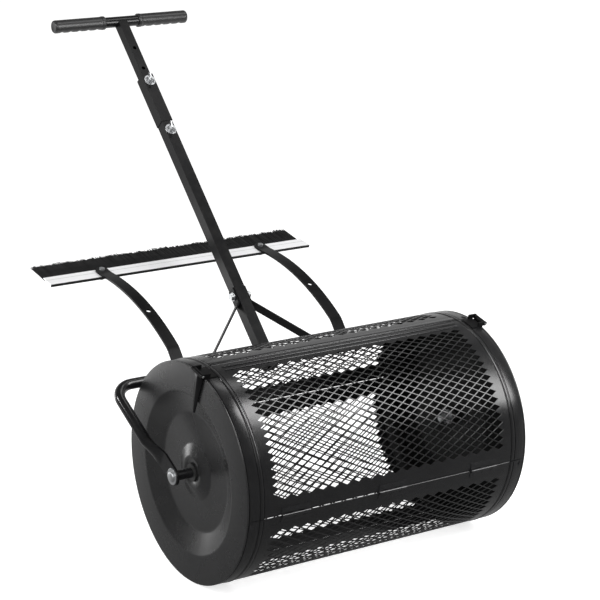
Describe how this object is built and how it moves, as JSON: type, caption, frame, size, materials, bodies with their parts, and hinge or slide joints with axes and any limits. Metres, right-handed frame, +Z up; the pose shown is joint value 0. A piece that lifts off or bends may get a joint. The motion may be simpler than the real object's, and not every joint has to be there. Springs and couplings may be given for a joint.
{
  "type": "lawn roller",
  "caption": "Push-along mesh drum roller that spreads compost or peat moss, with a hinged and latched door, tube frame, telescoping T handle and a trailing brush strip.",
  "frame": {"origin": "point of the floor straight under the middle of the axle", "axes": "+X along the axle, +Y to the rear where the handle and brush are, +Z up"},
  "size_m": [0.7014, 0.9815, 0.9118],
  "materials": {
    "black_steel": "satin black powder coat",
    "cap_steel": "satin black powder coat, pressed sheet",
    "black_fastener": "painted over with the panels",
    "zinc_steel": "bright zinc plate",
    "nylon": "moulded black nylon",
    "grip_rubber": "matt moulded rubber",
    "channel_aluminium": "bright drawn aluminium",
    "bristle_nylon": "stiff black monofilament"
  },
  "bodies": {
    "frame": {"frame_tube": "black_steel", "mast_lower": "black_steel", "mast_sleeve": "black_steel", "wing_screws": "zinc_steel", "wing_washers": "zinc_steel", "brace_left": "black_steel", "brace_right": "black_steel", "brace_bolt": "zinc_steel", "brace_nut": "zinc_steel", "cross_tube_bolts": "zinc_steel", "cross_tube_nuts": "zinc_steel", "axle_pin_left": "zinc_steel", "axle_pin_right": "zinc_steel", "axle_spacer_left": "black_steel", "axle_spacer_right": "black_steel", "axle_washers_outer": "zinc_steel", "axle_washers_inner": "zinc_steel", "hairpin_clips": "zinc_steel"},
    "drum": {"end_cap_left": "cap_steel", "end_cap_right": "cap_steel", "panel_rear_upper": "black_steel", "panel_rear_lower": "black_steel", "panel_front_lower": "black_steel", "panel_screws": "black_fastener", "hinge_leaves_panel": "black_steel", "hinge_rivets_panel": "black_fastener", "hinge_pins": "black_fastener", "hub_bush_left": "nylon", "hub_bush_right": "nylon"},
    "door": {"drum_door": "black_steel", "hinge_leaves_door": "black_steel", "hinge_rivets_door": "black_fastener", "latch_bracket_left": "black_steel", "latch_bracket_right": "black_steel", "latch_pin_left": "zinc_steel", "latch_pin_right": "zinc_steel"},
    "latch_left": {"latch_lever_left": "black_steel"},
    "latch_right": {"latch_lever_right": "black_steel"},
    "handle": {"mast_upper": "black_steel", "t_bar": "black_steel", "grip_left": "grip_rubber", "grip_right": "grip_rubber"},
    "brush": {"brush_arm_left": "black_steel", "brush_arm_right": "black_steel", "arm_clamp_left": "black_steel", "arm_clamp_right": "black_steel", "arm_clamp_screws": "zinc_steel", "brush_bolts": "zinc_steel", "brush_nuts": "zinc_steel", "brush_channel": "channel_aluminium", "brush_bristles": "bristle_nylon"}
  },
  "joints": [
    {"name": "drum_spin", "type": "hinge", "parent": "frame", "child": "drum", "pos_m": [0, 0, 0.203], "axis": [1, 0, 0], "continuous": true},
    {"name": "door_hinge", "type": "hinge", "parent": "drum", "child": "door", "pos_m": [0, -0.20309, 0.17228], "axis": [1, 0, 0], "range_deg": [0, 100]},
    {"name": "latch_left_pivot", "type": "hinge", "parent": "door", "child": "latch_left", "pos_m": [-0.3085, -0.05188, 0.4036], "axis": [0, 0.9681, 0.2504], "range_deg": [0, 150]},
    {"name": "latch_right_pivot", "type": "hinge", "parent": "door", "child": "latch_right", "pos_m": [0.3085, -0.05188, 0.4036], "axis": [0, -0.9681, -0.2504], "range_deg": [0, 150]},
    {"name": "handle_slide", "type": "slide", "parent": "frame", "child": "handle", "axis": [0, 0.6871, 0.7266], "range_m": [-0.102, 0.051]},
    {"name": "brush_swing", "type": "hinge", "parent": "frame", "child": "brush", "pos_m": [0, 0.19706, 0.31769], "axis": [1, 0, 0], "range_deg": [-50, 10]}
  ]
}
